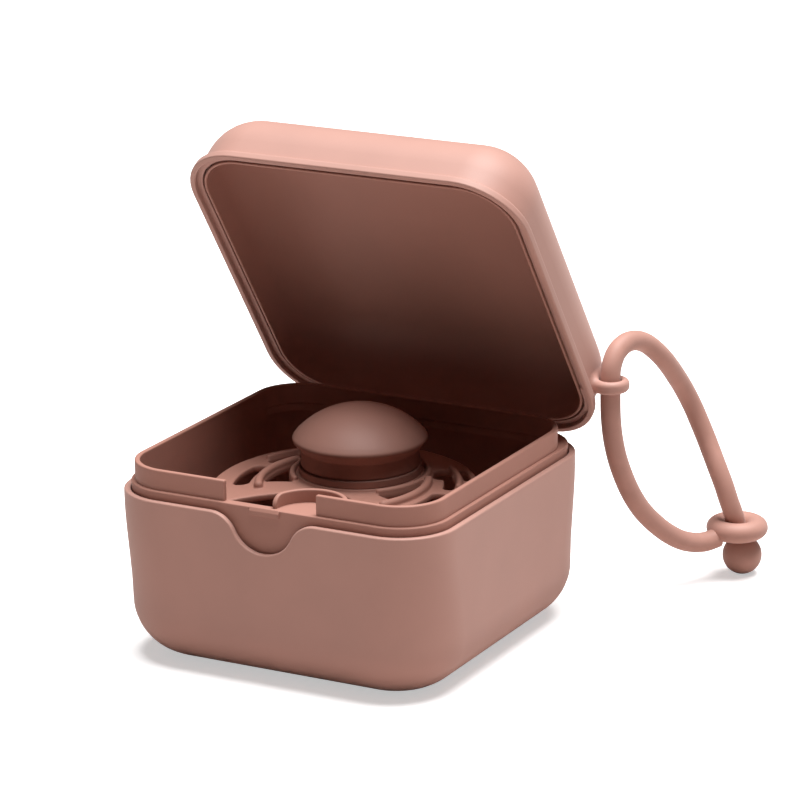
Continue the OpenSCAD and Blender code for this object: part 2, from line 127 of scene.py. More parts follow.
class Shader:
    # the nodes of a material or a world
    def __init__(self, owner):
        owner.use_nodes = True
        self.owner = owner
        self.tree = owner.node_tree
        self.tree.nodes.clear()

    def node(self, kind, settings=None, sockets=None, out=0):
        made = self.tree.nodes.new(kind)
        for key, value in (settings or {}).items():
            if key == "stops":
                ramp = made.color_ramp.elements
                while len(ramp) < len(value):
                    ramp.new(0.5)
                for stop, (place, tone) in zip(ramp, value):
                    stop.position, stop.color = place, tone
            else:
                setattr(made, key, value)
        for key, value in (sockets or {}).items():
            if isinstance(value, Value):
                self.tree.links.new(value.socket, made.inputs[key])
            else:
                made.inputs[key].default_value = value
        return Value(self, made.outputs[out]) if made.outputs else made

    def ramp(self, value, low, high):
        # 0 up to low and 1 from high on
        stops = [(low, (0, 0, 0, 1)), (high, (1, 1, 1, 1))]
        return self.node("ShaderNodeValToRGB", {"stops": stops}, {"Fac": value})

    def noise(self, place, scale, detail, distortion=0.0):
        return self.node("ShaderNodeTexNoise", None,
                         {"Vector": place, "Scale": scale, "Detail": detail, "Distortion": distortion})

    def blendColor(self, share, a, b):
        return self.node("ShaderNodeMix", {"data_type": "RGBA"}, {0: share, 6: a, 7: b}, out=2)

    def finish(self, surface, kind="ShaderNodeOutputMaterial"):
        self.node(kind, None, {"Surface": surface})
        return self.owner


def eased(t):
    # a smooth step from 0 to 1
    return t * t * (3 - 2 * t)


def shaded(color, factor):
    return (*(c * factor for c in color[:3]), 1.0)


# meshes from rows of points, in millimetres


def cleaned(points):
    keep = [points[0]]
    for p in points[1:]:
        if np.linalg.norm(p - keep[-1]) > 1e-4:
            keep.append(p)
    return np.array(keep)


def roundedPath(corners, closed=False, step=9, hold=0.3):
    # fillets a line of (x, y, radius) corners; points beside each fillet keep the flats flat
    p = [np.array(c[:2], float) for c in corners]
    radii = [c[2] if len(c) > 2 else 0 for c in corners]
    n = len(p)
    reach = [0.0] * n
    for i in range(n):
        if radii[i] > 0 and (closed or 0 < i < n - 1):
            a, b = p[i - 1] - p[i], p[(i + 1) % n] - p[i]
            half = math.acos(float(np.clip(a @ b / np.linalg.norm(a) / np.linalg.norm(b), -1, 1))) / 2
            reach[i] = radii[i] / math.tan(half)
    out = []
    for i in range(n):
        j = (i + 1) % n
        if reach[i] > 0:
            u, v = ((q - p[i]) / np.linalg.norm(q - p[i]) for q in (p[i - 1], p[j]))
            half = math.atan2(radii[i], reach[i])
            middle = p[i] + (u + v) / np.linalg.norm(u + v) * radii[i] / math.sin(half)
            first = p[i] + u * reach[i] - middle
            last = p[i] + v * reach[i] - middle
            sweep = math.pi - 2 * half
            side = 1 if first[0] * last[1] - first[1] * last[0] > 0 else -1
            count = max(2, math.ceil(math.degrees(sweep) / step))
            for k in range(count + 1):
                c, s = math.cos(side * sweep * k / count), math.sin(side * sweep * k / count)
                out.append(middle + np.array([first[0] * c - first[1] * s, first[0] * s + first[1] * c]))
        else:
            out.append(p[i])
        if closed or i < n - 1:
            along = p[j] - p[i]
            length = np.linalg.norm(along)
            free = length - reach[i] - reach[j]
            gap = min(hold, free * 0.3)
            if free > 0.05 and reach[i] > 0:
                out.append(p[i] + along / length * (reach[i] + gap))
            if free > 0.05 and reach[j] > 0:
                out.append(p[j] - along / length * (reach[j] + gap))
    return cleaned(out)


def squareStations(front=None, extra=(), steps=12, sides=5):
    # stations round a square: the corner axis' place from -1 to 1 both ways, and the way out
    front = np.linspace(-1, 1, 7) if front is None else front
    side = np.linspace(-1, 1, sides + 1)
    plain = sorted(np.linspace(0, 90, steps + 1)[1:-1])
    bent = sorted({*plain, *extra})

    def corner(sx, sy, angles):
        return [(sx, sy, sx * math.sin(math.radians(a)), sy * math.cos(math.radians(a))) for a in angles]

    rows = [(t, -1, 0, -1) for t in front] + corner(1, -1, plain)
    rows += [(1, t, 1, 0) for t in side] + corner(1, 1, bent[::-1])
    rows += [(t, 1, 0, 1) for t in side[::-1]] + corner(-1, 1, bent)
    rows += [(-1, t, -1, 0) for t in side[::-1]] + corner(-1, -1, plain[::-1])
    return np.array(rows)


def joinRings(rings, ends=True):
    # joins rings of equal length into a tube, with a face on each end
    n = len(rings[0])
    faces = []
    for i in range(len(rings) - 1):
        for k in range(n):
            j = (k + 1) % n
            faces.append((i * n + k, i * n + j, (i + 1) * n + j, (i + 1) * n + k))
    if ends:
        faces.append(tuple(range(n))[::-1])
        faces.append(tuple((len(rings) - 1) * n + k for k in range(n)))
    return np.vstack(rings), faces


def squareLoft(path, stations, axis, grow=None, warp=None):
    # carries (distance from the corner's axis, height) pairs round the square; both ends close flat
    rows = []
    for r, z in path:
        g = max(grow(z) if grow else 0, 0.05 - r)
        x = stations[:, 0] * (axis - g) + stations[:, 2] * (r + g)
        y = stations[:, 1] * (axis - g) + stations[:, 3] * (r + g)
        rows.append(np.c_[x, y, np.full(len(x), z)])
    if warp:
        rows = warp(rows)
    first, last = rows[0], rows[-1]
    rows = [first * [s, s, 1] for s in (0.3, 0.65)] + rows + [last * [s, s, 1] for s in (0.65, 0.3)]
    points, faces = joinRings(rows, ends=False)
    n, count = len(stations), len(points)
    points = np.vstack([points, [0, 0, first[0, 2]], [0, 0, last[0, 2]]])
    for k in range(n):
        j = (k + 1) % n
        faces.append((count, j, k))
        faces.append((count - n + k, count - n + j, count + 1))
    return points, faces


def lathe(profile, center, segments=128):
    # turns a (radius, height) line about an upright axis; points on the axis are shared
    rings, index, faces, count = [], [], [], 0
    angles = np.linspace(0, turn, segments, endpoint=False)
    for r, z in profile:
        size = 1 if r < 1e-6 else segments
        a = angles[:size]
        x, y = center[0] + r * np.cos(a), center[1] + r * np.sin(a)
        rings.append(np.c_[x, y, np.full(size, center[2] + z)])
        index.append([count] * segments if size == 1 else list(range(count, count + segments)))
        count += size
    pairs = list(zip(index[:-1], index[1:]))
    if len(rings[0]) > 1 and len(rings[-1]) > 1:
        pairs.append((index[-1], index[0]))
    for a, b in pairs:
        for k in range(segments):
            j = (k + 1) % segments
            face = list(dict.fromkeys((a[k], a[j], b[j], b[k])))
            if len(face) > 2:
                faces.append(tuple(face))
    return np.vstack(rings), faces


def arcPoints(center, radius, start, end, count):
    a = np.radians(np.linspace(start, end, count))
    return np.c_[center[0] + radius * np.cos(a), center[1] + radius * np.sin(a)]


def wallAlong(path, width, low, top, edge, steps=4):
    # a wall that follows a line seen from above, with a rounded top and rounded ends
    path = cleaned(path)
    run = np.r_[0, np.cumsum(np.linalg.norm(np.diff(path, axis=0), axis=1))]
    angles = np.linspace(0, math.pi / 2, steps + 1)
    soft = edge * (1 - np.cos(angles))
    inner = [s for s in run if edge + 0.05 < s < run[-1] - edge - 0.05]
    marks = [(s, edge * (1 - math.sin(a))) for s, a in zip(soft, angles)]
    marks += [(s, 0) for s in inner]
    marks += [(run[-1] - s, edge * (1 - math.sin(a))) for s, a in zip(soft[::-1], angles[::-1])]

    def at(s):
        return np.array([np.interp(s, run, path[:, k]) for k in (0, 1)])

    rings = []
    for s, inset in marks:
        ahead = at(min(s + 0.2, run[-1])) - at(max(s - 0.2, 0))
        side = np.array([ahead[1], -ahead[0]]) / np.linalg.norm(ahead)
        half = width / 2 - inset
        e = min(edge, half * 0.98)
        height = top(at(s)) if callable(top) else top
        height = max(height - inset, low + e + 0.02)
        ring = [(-half, low), (-half, max(low + 0.01, height - e - 0.3))]
        ring += [(-half + e - e * math.cos(q), height - e + e * math.sin(q)) for q in angles]
        ring += [(-w, h) for w, h in reversed(ring)]
        rings.append(np.array([[*(at(s) + side * w), h] for w, h in ring]))
    return joinRings(rings)


def smoothLine(points, each=8):
    # a smooth curve through every point
    p = np.array(points, float)
    p = np.vstack([2 * p[0] - p[1], p, 2 * p[-1] - p[-2]])
    out = []
    for i in range(1, len(p) - 2):
        a, b, c, d = p[i - 1:i + 3]
        for t in np.linspace(0, 1, each, endpoint=False):
            out.append(0.5 * (2 * b + (c - a) * t + (2 * a - 5 * b + 4 * c - d) * t * t
                              + (3 * b - a - 3 * c + d) * t ** 3))
    out.append(p[-2])
    return np.array(out)


def tubeAlong(line, radius, sides=32):
    # a round tube whose rings turn as little as they can from one to the next
    ways = np.gradient(line, axis=0)
    ways /= np.linalg.norm(ways, axis=1)[:, None]
    side = np.cross(ways[0], [0.3, 0.5, 0.81])
    angles = np.linspace(0, turn, sides, endpoint=False)[:, None]
    rings = []
    for i, (p, way) in enumerate(zip(line, ways)):
        side = side - way * (side @ way)
        side /= np.linalg.norm(side)
        r = radius(i / (len(line) - 1)) if callable(radius) else radius
        rings.append(p + r * (np.cos(angles) * side + np.sin(angles) * np.cross(way, side)))
    return joinRings(rings)


# meshes from distance fields, in millimetres


def smoothMin(a, b, soft):
    h = np.clip(0.5 + 0.5 * (b - a) / soft, 0, 1)
    return b + (a - b) * h - soft * h * (1 - h)


def smoothMax(a, b, soft):
    return -smoothMin(-a, -b, soft)


def drawnOut(flat, level, low, high, edge):
    # a flat field drawn out between two levels, with its rims rounded
    a, b = flat + edge, np.abs(level - (low + high) / 2) - (high - low) / 2 + edge
    return np.hypot(np.maximum(a, 0), np.maximum(b, 0)) + np.minimum(np.maximum(a, b), 0) - edge


def polygonField(x, y, corners):
    # distance to a polygon, negative inside
    corners = np.array(corners, float)
    near = np.full(x.shape, 1e9)
    inside = np.zeros(x.shape, bool)
    for a, b in zip(corners, np.roll(corners, -1, 0)):
        e = b - a
        t = np.clip(((x - a[0]) * e[0] + (y - a[1]) * e[1]) / (e @ e), 0, 1)
        near = np.minimum(near, np.hypot(x - a[0] - e[0] * t, y - a[1] - e[1] * t))
        crosses = (a[1] > y) != (b[1] > y)
        if e[1]:
            inside ^= crosses & (x < a[0] + (y - a[1]) / e[1] * e[0])
    return np.where(inside, -near, near)


def arcField(x, y, radius, start, end):
    # distance to an arc about the origin, from its start to its end angle in degrees
    middle, half = math.radians(start + end) / 2, math.radians(end - start) / 2
    c, s = math.cos(middle), math.sin(middle)
    along, across = x * c + y * s, np.abs(-x * s + y * c)
    tip = (radius * math.cos(half), radius * math.sin(half))
    on = np.arctan2(across, along) <= half
    return np.where(on, np.abs(np.hypot(x, y) - radius), np.hypot(along - tip[0], across - tip[1]))


def skinOf(field, low, high, cell):
    # a closed skin where the field is zero, one point to each cell that the surface crosses
    axes = [np.arange(a - 1.5 * cell, b + 2.5 * cell, cell) for a, b in zip(low, high)]
    f = field(*np.meshgrid(*axes, indexing="ij"))
    inside = f < 0
    cells = tuple(n - 1 for n in f.shape)
    total, count = np.zeros((*cells, 3)), np.zeros(cells)
    quads = []
    for axis in range(3):
        others = [k for k in range(3) if k != axis]
        first = [slice(None)] * 3
        second = [slice(None)] * 3
        first[axis], second[axis] = slice(None, -1), slice(1, None)
        a, b = f[tuple(first)], f[tuple(second)]
        crosses = inside[tuple(first)] != inside[tuple(second)]
        share = np.where(crosses, a / np.where(a == b, 1, a - b), 0)
        at = np.stack(np.meshgrid(*[np.arange(n, dtype=float) for n in a.shape], indexing="ij"), -1)
        at[..., axis] += share
        at *= crosses[..., None]
        for u in (0, 1):
            for v in (0, 1):
                part = [slice(None)] * 3
                part[others[0]] = slice(u, u + cells[others[0]])
                part[others[1]] = slice(v, v + cells[others[1]])
                total += at[tuple(part)]
                count += crosses[tuple(part)]
        found = np.argwhere(crosses)
        keep = (found[:, others[0]] > 0) & (found[:, others[1]] > 0)
        keep &= (found[:, others[0]] < cells[others[0]]) & (found[:, others[1]] < cells[others[1]])
        found = found[keep]
        around = []
        for u, v in ((1, 1), (0, 1), (0, 0), (1, 0)):
            corner = found.copy()
            corner[:, others[0]] -= u
            corner[:, others[1]] -= v
            around.append(corner)
        flip = inside[tuple(first)][tuple(found.T)] ^ (axis == 1)
        around = np.stack(around, 1)
        around[~flip] = around[~flip][:, ::-1]
        quads.append(around)
    used = count > 0
    number = np.full(cells, -1)
    number[used] = np.arange(used.sum())
    points = total[used] / count[used][:, None] * cell + [a[0] for a in axes]
    quads = np.vstack(quads)
    faces = number[quads[..., 0], quads[..., 1], quads[..., 2]]
    return points, [tuple(face) for face in faces.tolist()]


# pieces


def turned(part, matrix):
    m = np.array(matrix)
    return part[0] @ m[:3, :3].T + m[:3, 3], part[1]


def piece(name, parts, material, body, stands=(), sharp=40):
    points, faces, count = [], [], 0
    for p, f in parts:
        points.append(p)
        faces += [tuple(v + count for v in face) for face in f]
        count += len(p)
    mesh = bpy.data.meshes.new(name)
    mesh.from_pydata((np.vstack(points) * mm).tolist(), [], faces)
    work = bmesh.new()
    work.from_mesh(mesh)
    bmesh.ops.recalc_face_normals(work, faces=work.faces)
    work.to_mesh(mesh)
    work.free()
    mesh.shade_smooth()
    mesh.set_sharp_from_angle(angle=math.radians(sharp))
    mesh.materials.append(material)
    made = bpy.data.objects.new(name, mesh)
    bpy.context.scene.collection.objects.link(made)
    if body:
        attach(made, body)
    if stands:
        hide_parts(*stands)
    return made


# materials

# the liner, tray and knob are the shell's one plastic; their darker colours are painted shade for the shade
# inside the hollow
plastics = {
    "shellPlastic": {"color": (0.44, 0.235, 0.19), "cloud": 0.04, "grain": 0.05, "rough": 0.56,
                     "shine": 0.45, "sheen": 0.12},
    "linerShadedPlastic": {"color": (0.385, 0.19, 0.148), "cloud": 0.04, "grain": 0.05, "rough": 0.56,
                     "shine": 0.3, "sheen": 0.0},
    "trayShadedPlastic": {"color": (0.42, 0.205, 0.158), "cloud": 0.04, "grain": 0.05, "rough": 0.56,
                    "shine": 0.25, "sheen": 0.0},
    "knobShadedPlastic": {"color": (0.36, 0.178, 0.14), "cloud": 0.03, "grain": 0.05, "rough": 0.55,
                    "shine": 0.4, "sheen": 0.0},
}


moulding = {
    "cloudScale": 55.0,
    "grainScale": 2400.0,
    "swirlScale": 16.0,
    "swirl": 1.2,
    "pigment": (0.35, 0.65),
    # the edge settings paint a highlight on the convex edges
    "edges": (0.50, 0.58),
    "edgeHighlightShare": 0.07,
    "edgeHighlightTone": 1.25,
    "grainDepth": 0.0002,
}


def plastic(name, s, m):
    # moulded plastic: a faint cloud in the pigment, a fine spark-eroded grain and a painted highlight that
    # makes the convex edges paler
    shader = Shader(bpy.data.materials.new(name))
    place = shader.node("ShaderNodeTexCoord", None, None, out=3)
    cloud = shader.noise(place, m["cloudScale"], 4.0)
    fine = shader.noise(place, m["grainScale"], 2.0)
    swirl = shader.noise(place, m["swirlScale"], 3.0, m["swirl"])
    pointed = shader.node("ShaderNodeNewGeometry", None, None, out=7)
    # painted highlight: convex edges, found by pointiness, are lightened
    edges = shader.ramp(pointed, *m["edges"])
    share = shader.ramp(cloud * 0.6 + swirl * 0.4, *m["pigment"])
    body = shader.blendColor(share, shaded(s["color"], 1 - s["cloud"]), shaded(s["color"], 1 + s["cloud"]))
    body = shader.blendColor(edges * m["edgeHighlightShare"], body, shaded(s["color"], m["edgeHighlightTone"]))
    rough = cloud * 0.08 + fine * 0.06 + (s["rough"] - 0.07)
    grain = shader.node("ShaderNodeBump", None,
                        {"Strength": s["grain"], "Distance": m["grainDepth"], "Height": fine})
    bsdf = shader.node("ShaderNodeBsdfPrincipled", None, {
        "Base Color": body, "Roughness": rough, "Normal": grain, "IOR": 1.5,
        "Specular IOR Level": s["shine"], "Sheen Weight": s["sheen"], "Sheen Roughness": 0.6,
    })
    return shader.finish(bsdf)


materials = {name: plastic(name, s, moulding) for name, s in plastics.items()}

silicone = {
    "color": (0.43, 0.23, 0.185),
    "bloomScale": 180.0,
    "bloom": (0.45, 0.75),
    "bloomTone": 1.1,
    "skinScale": 900.0,
    "skinDepth": 0.0003,
    "rough": 0.55,
}


def rubber(s):
    # silicone: a soft sheen, a slight bloom of dust and a skin that is a little uneven
    shader = Shader(bpy.data.materials.new("siliconeStrap"))
    place = shader.node("ShaderNodeTexCoord", None, None, out=3)
    skin = shader.noise(place, s["skinScale"], 3.0)
    dust = shader.ramp(shader.noise(place, s["bloomScale"], 5.0), *s["bloom"])
    body = shader.blendColor(dust, shaded(s["color"], 1), shaded(s["color"], s["bloomTone"]))
    bump = shader.node("ShaderNodeBump", None,
                       {"Strength": 0.06, "Distance": s["skinDepth"], "Height": skin})
    bsdf = shader.node("ShaderNodeBsdfPrincipled", None, {
        "Base Color": body, "Roughness": skin * 0.1 + (s["rough"] - 0.05), "Normal": bump,
        "IOR": 1.41, "Specular IOR Level": 0.4, "Sheen Weight": 0.15, "Sheen Roughness": 0.5,
    })
    return shader.finish(bsdf)


materials["siliconeStrap"] = rubber(silicone)


wire = {
    "dark": (0.46, 0.46, 0.47),
    "pale": (0.66, 0.66, 0.67),
    "lineScale": (60.0, 4000.0, 4000.0),
    "lineDepth": 0.0001,
}


def steel(s):
    # drawn wire: fine lines along the pin and light wear
    shader = Shader(bpy.data.materials.new("drawnSteel"))
    place = shader.node("ShaderNodeTexCoord", None, None, out=3)
    stretched = shader.node("ShaderNodeMapping", None, {"Vector": place, "Scale": s["lineScale"]})
    lines = shader.noise(stretched, 1.0, 3.0)
    body = shader.blendColor(lines, shaded(s["dark"], 1), shaded(s["pale"], 1))
    bump = shader.node("ShaderNodeBump", None,
                       {"Strength": 0.1, "Distance": s["lineDepth"], "Height": lines})
    bsdf = shader.node("ShaderNodeBsdfPrincipled", None, {
        "Base Color": body, "Metallic": 1.0, "Roughness": lines * 0.15 + 0.22, "Normal": bump,
    })
    return shader.finish(bsdf)


materials["drawnSteel"] = steel(wire)
print("materials made:", len(materials))

# strap

strap = {
    "diameter": 5.0,
    "lower": [
        (47.9, 44.5, 57), (47.9, 44.5, 53), (47.9, 44.7, 49), (48.2, 45.1, 44), (48.8, 46.1, 38.6),
        (49.7, 47.7, 33.4), (50.9, 49.8, 28.2), (52.3, 52.5, 23.5), (53.9, 55.3, 19.8),
        (56, 59.1, 15.9), (58.2, 63, 12.9), (60.2, 66.8, 11.2), (62.1, 70.3, 10.6), (63.9, 73.5, 11),
    ],
    "upper": [
        (47.9, 44.5, 57), (47.7, 45.3, 61), (47.8, 47.9, 64.2), (48.5, 51.6, 65.8),
        (49.4, 55.6, 65.6), (50.4, 59.3, 64.1), (51.6, 62.4, 61.6), (52.6, 65.2, 58.8),
        (53, 68.2, 55.9), (53.2, 71.1, 53), (53.6, 73.8, 49.9), (54.3, 76, 46.5),
        (55.4, 77.5, 42.8), (56.8, 78.2, 39), (58.5, 78.3, 35.2), (60.4, 77.7, 31.6),
        (62.4, 76.9, 28), (64.2, 76.5, 24.3), (65.5, 76.7, 20.4), (66.5, 77.6, 16.5),
        (67, 78.7, 12.5), (67.5, 79.9, 8.6),
    ],
    "eyeCenter": (67, 78.9, 12.6),
    "eyeRadius": 5.15,
    "eyeHalf": (2.65, 2.5),
    "ballCenter": (67.8, 80.4, 5),
    "ballRadius": 5.0,
}


def hangRun(run):
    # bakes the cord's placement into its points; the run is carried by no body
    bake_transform(run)


def makeStrap(s):
    rubberSkin = materials["siliconeStrap"]
    lines = {name: smoothLine(s[name], 6) for name in ("lower", "upper")}
    runs = {name: piece("strap_" + name + "_run", [tubeAlong(line, s["diameter"] / 2)], rubberSkin,
                        None, ("strap_" + name,), sharp=60)
            for name, line in lines.items()}
    section = [(s["eyeRadius"] + s["eyeHalf"][0] * math.cos(a), s["eyeHalf"][1] * math.sin(a))
               for a in np.linspace(0, turn, 40, endpoint=False)]
    ring = lathe(section, s["eyeCenter"], 96)
    eye = piece("strap_ring", [ring], rubberSkin, "base", ("strap_eye",))
    r = s["ballRadius"]
    ball = lathe([(r * math.sin(a), -r * math.cos(a)) for a in np.linspace(0, math.pi, 40)],
                 s["ballCenter"], 96)
    knot = piece("strap_end_ball", [ball], rubberSkin, "base", ("strap_ball",))
    hangRun(runs["lower"])
    hangRun(runs["upper"])


makeStrap(strap)

# base shell

axis = 29.6  # the upright corners turn about the points that lie this far out, both ways

base = {
    "radius": 14.4,
    "rim": 42.0,
    "wall": 1.6,
    "edge": 14.0,
    "rimEdge": 0.45,
    "growBelow": (14.0, 40.0, 3.6),  # full growth up to, none from, the most
    "scallopDepth": 8.9,
    "scallopRadius": 8.6,
    "flareRadius": 7.0,
    "warpFrom": 24.0,
    "notchHeight": 38.5,
    "notchSpan": (30.9, 32.1),  # the slope of the notch's ends, out from the middle
    "rows": (20, 26, 29, 32, 35, 38, 40.2),  # heights where the wall gets a ring of points
    "rimRows": 2.2,
    "frontEnds": (-1, -0.8, -0.6),  # the front's stations beside the scallop, as shares of the axis
    "notchAngles": (4.6, 10.6, 11),  # more stations where the notch ends: from, to, how many
}


def cornerGrowth(z):
    # the corners seen from above are wider near the underside than at the rim
    low, high, most = base["growBelow"]
    t = min(1, max(0, (z - low) / (high - low)))
    return most * (1 - eased(t))


def scallopLine(s):
    # the rim's height along the front, and the way into the wall there
    lift = s["rim"] - s["scallopDepth"] + s["scallopRadius"]
    flareZ = s["rim"] - s["flareRadius"]
    reach = s["scallopRadius"] + s["flareRadius"]
    flareX = math.sqrt(reach ** 2 - (lift - flareZ) ** 2)
    joinX = flareX * s["scallopRadius"] / reach
    rows = []
    for a in np.linspace(0, math.asin(joinX / s["scallopRadius"]), 26):
        x, z = s["scallopRadius"] * math.sin(a), lift - s["scallopRadius"] * math.cos(a)
        rows.append((x, z, math.sin(a), -math.cos(a)))
    tilt = math.asin((flareX - joinX) / s["flareRadius"])
    for a in np.linspace(tilt, 0, 16)[1:]:
        x, z = flareX - s["flareRadius"] * math.sin(a), flareZ + s["flareRadius"] * math.cos(a)
        rows.append((x, z, math.sin(a), -math.cos(a)))
    rows += [(flareX + d, s["rim"], 0, -1) for d in (0.6, 2.4)]
    rows = [(-x, z, -nx, nz) for x, z, nx, nz in rows[:0:-1]] + rows
    return np.array(rows)


def makeBaseShell(s):
    r, rim, wall, e = s["radius"], s["rim"], s["wall"], s["rimEdge"]
    path = roundedPath([
        (core, 0, 0), (r, 0, s["edge"]), *((r, z, 0) for z in s["rows"]), (r, rim, e), (r - wall, rim, e),
        *((r - wall, z, 0) for z in s["rows"][::-1]), (r - wall, wall, s["edge"] - wall), (core, wall, 0),
    ], step=6)
    line = scallopLine(s)
    ends = np.array(s["frontEnds"])
    stations = squareStations(front=np.r_[ends, line[:, 0] / axis, -ends[::-1]],
                              extra=np.linspace(*s["notchAngles"]))
    count = len(line)

    def warp(rows):
        for row in rows:
            z = row[0, 2]
            if z <= s["warpFrom"]:
                continue
            part = row[len(ends):len(ends) + count]
            depth = rim - z
            share = min(1, (z - s["warpFrom"]) / (rim - s["rimRows"] - s["warpFrom"]))
            deep = min(depth, s["rimRows"])
            x = line[:, 0] + line[:, 2] * deep
            top = line[:, 1] + line[:, 3] * deep
            part[:, 0] += (x - part[:, 0]) * share
            part[:, 2] = s["warpFrom"] + (top - s["warpFrom"]) * share
            # the gap for the hinge, in the back
            a = np.arctan2(np.abs(stations[:, 2]), stations[:, 3])
            reach = np.abs(stations[:, 0]) * axis + r * np.sin(a)
            t = np.clip((reach - s["notchSpan"][0]) / (s["notchSpan"][1] - s["notchSpan"][0]), 0, 1)
            drop = (rim - s["notchHeight"]) * (1 - eased(t))
            drop[stations[:, 1] < 0] = 0
            row[:, 2] -= drop * share
        return rows

    shell = squareLoft(path, stations, axis, cornerGrowth, warp)
    return piece("base_shell_moulding", [shell], materials["shellPlastic"], "base",
                 ("base_shell",))


makeBaseShell(base)
print("base shell made")

# base liner: tub, collar, bay, latch tab and hinge lugs

hinge = {
    "y": 45.25,
    "z": 40.9,
    "knuckle": 1.9,
    "pin": 0.8,
    "edge": 0.25,
    "cell": 0.16,
    "baseSpans": ((-6, 6), (25, 31), (-31, -25)),
    "baseArm": ((41.4, 39.1), (45.25, 39.1), (45.25, 42.7), (41.4, 42.7)),
    "lidSpans": ((6.5, 24.5), (-24.5, -6.5)),
    "lidArm": ((43.35, 40.9), (47.15, 40.9), (47.15, 41.3), (45.75, 43.4), (44.25, 43.4), (43.35, 41.5)),
}

liner = {
    "radius": 12.6,
    "floor": 2.0,
    "edge": 12.0,
    "band": 44.0,
    "cavity": 10.35,
    "cavityFloor": 4.2,
    "cavityEdge": 9.95,
    "rimEdge": 0.3,
    "collarTop": 49.0,
    "collarMiddle": 11.0,
    "collarWall": 1.3,
    "collarEdge": 0.35,
    "gap": (-11.4, 13.2),  # the collar is open between these
    "rearAxis": 26.1,
    "shelf": (27.5, 41.8),  # front and underside
    "shelfInset": 0.7,
    "shelfUnder": 0.15,
    "bay": (10.8, -40.6, 8.3, 9.4),  # middle, inner and outer radius
    "bayFloor": (42.9, 43.98),
    "bayRise": 3.2,
    "latch": (4.0, -42.75, 42.2, 44.06),  # half width, front, underside and top
    "latchRoot": 1.3,
    "latchSlope": (0.5, 0.8),
}


def hingeBlock(start, end, arm):
    # a barrel round the pin with the arm that carries it, and the pin's bore
    def field(x, y, z):
        away = np.hypot(y - hinge["y"], z - hinge["z"])
        flat = np.minimum(away - hinge["knuckle"], polygonField(y, z, arm))
        body = drawnOut(flat, x, start, end, hinge["edge"])
        return smoothMax(body, hinge["pin"] + 0.03 - away, 0.05)

    reach = hinge["knuckle"] + 0.3
    low = (start, min(min(p[0] for p in arm) - 0.2, hinge["y"] - reach), hinge["z"] - reach)
    high = (end, hinge["y"] + reach, max(max(p[1] for p in arm) + 0.2, hinge["z"] + reach))
    return skinOf(field, low, high, hinge["cell"])


def makeBaseLiner(s):
    tub = squareLoft(roundedPath([
        (core, s["floor"], 0), (s["radius"], s["floor"], s["edge"]), (s["radius"], s["band"], s["rimEdge"]),
        (s["cavity"], s["band"], 0.02), (s["cavity"], s["cavityFloor"], s["cavityEdge"]),
        (core, s["cavityFloor"], 0),
    ], step=6), squareStations(), axis, cornerGrowth)
    mid, rear = s["collarMiddle"], s["rearAxis"]
    ring = np.vstack([
        [[s["gap"][0], -axis - mid], [-20, -axis - mid]],
        arcPoints((-axis, -axis), mid, 270, 180, 28),
        [[-axis - mid, -10], [-axis - mid, 10]],
        arcPoints((-axis, rear), mid, 180, 90, 28),
        [[-10, rear + mid], [10, rear + mid]],
        arcPoints((axis, rear), mid, 90, 0, 28),
        [[axis + mid, 10], [axis + mid, -10]],
        arcPoints((axis, -axis), mid, 0, -90, 28),
        [[20, -axis - mid], [s["gap"][1], -axis - mid]],
    ])
    parts = [tub, wallAlong(ring, s["collarWall"], s["band"] - 0.02, s["collarTop"], s["collarEdge"])]

    shelfFront, shelfLow = s["shelf"]

    def shelfField(x, y, z):
        # the ledge that carries the collar's rear run
        past = np.maximum(np.abs(x) - axis, 0)
        outline = np.hypot(past, np.maximum(y - axis, 0)) - s["radius"] + s["shelfInset"]
        hole = np.hypot(past, np.maximum(y - rear, 0)) - mid + s["collarWall"] / 2
        flat = np.maximum(np.maximum(outline, s["shelfUnder"] - hole), shelfFront - y)
        return drawnOut(flat, z, shelfLow, s["band"] - 0.02, 0.15)

    outside = axis + s["radius"] - 0.1
    parts.append(skinOf(shelfField, (-outside, shelfFront - 0.5, shelfLow),
                        (outside, outside, s["band"]), 0.3))
    bayX, bayY, inner, outer = s["bay"]
    wall = (inner + outer) / 2

    def bayTop(p):
        # the bay's wall climbs from the band on a quarter circle
        top = s["bayRise"]
        rise = max(0.0, min(top, p[1] - bayY + 0.6))
        return s["band"] + math.sqrt(max(0.0, top ** 2 - (top - rise) ** 2))

    parts.append(wallAlong(arcPoints((bayX, bayY), wall, -2.6, 182.6, 60), outer - inner,
                           s["bayFloor"][0] + 0.1, bayTop, 0.35))

    def bayFloor(x, y, z):
        flat = np.maximum(np.hypot(x - bayX, y - bayY) - outer + 0.03, bayY - 0.9 - y)
        return drawnOut(flat, z, *s["bayFloor"], 0.2)

    parts.append(skinOf(bayFloor, (bayX - outer, bayY - 1.2, s["bayFloor"][0]),
                        (bayX + outer, bayY + outer, s["bayFloor"][1]), 0.25))

    half, front, low, high = s["latch"]
    back = front + s["latchRoot"]
    slopeIn, slopeDown = s["latchSlope"]
    side = [(front, low), (back, low), (back, high), (front + slopeIn, high), (front, high - slopeDown)]

    def latch(x, y, z):
        return drawnOut(polygonField(y, z, side), x, -half, half, 0.2)

    parts.append(skinOf(latch, (-half, front, low), (half, back, high), 0.12))
    parts += [hingeBlock(*span, hinge["baseArm"]) for span in hinge["baseSpans"]]
    return piece("base_liner_moulding", parts, materials["linerShadedPlastic"], "base",
                 ("base_liner",))


makeBaseLiner(liner)
print("base liner made")

# tray

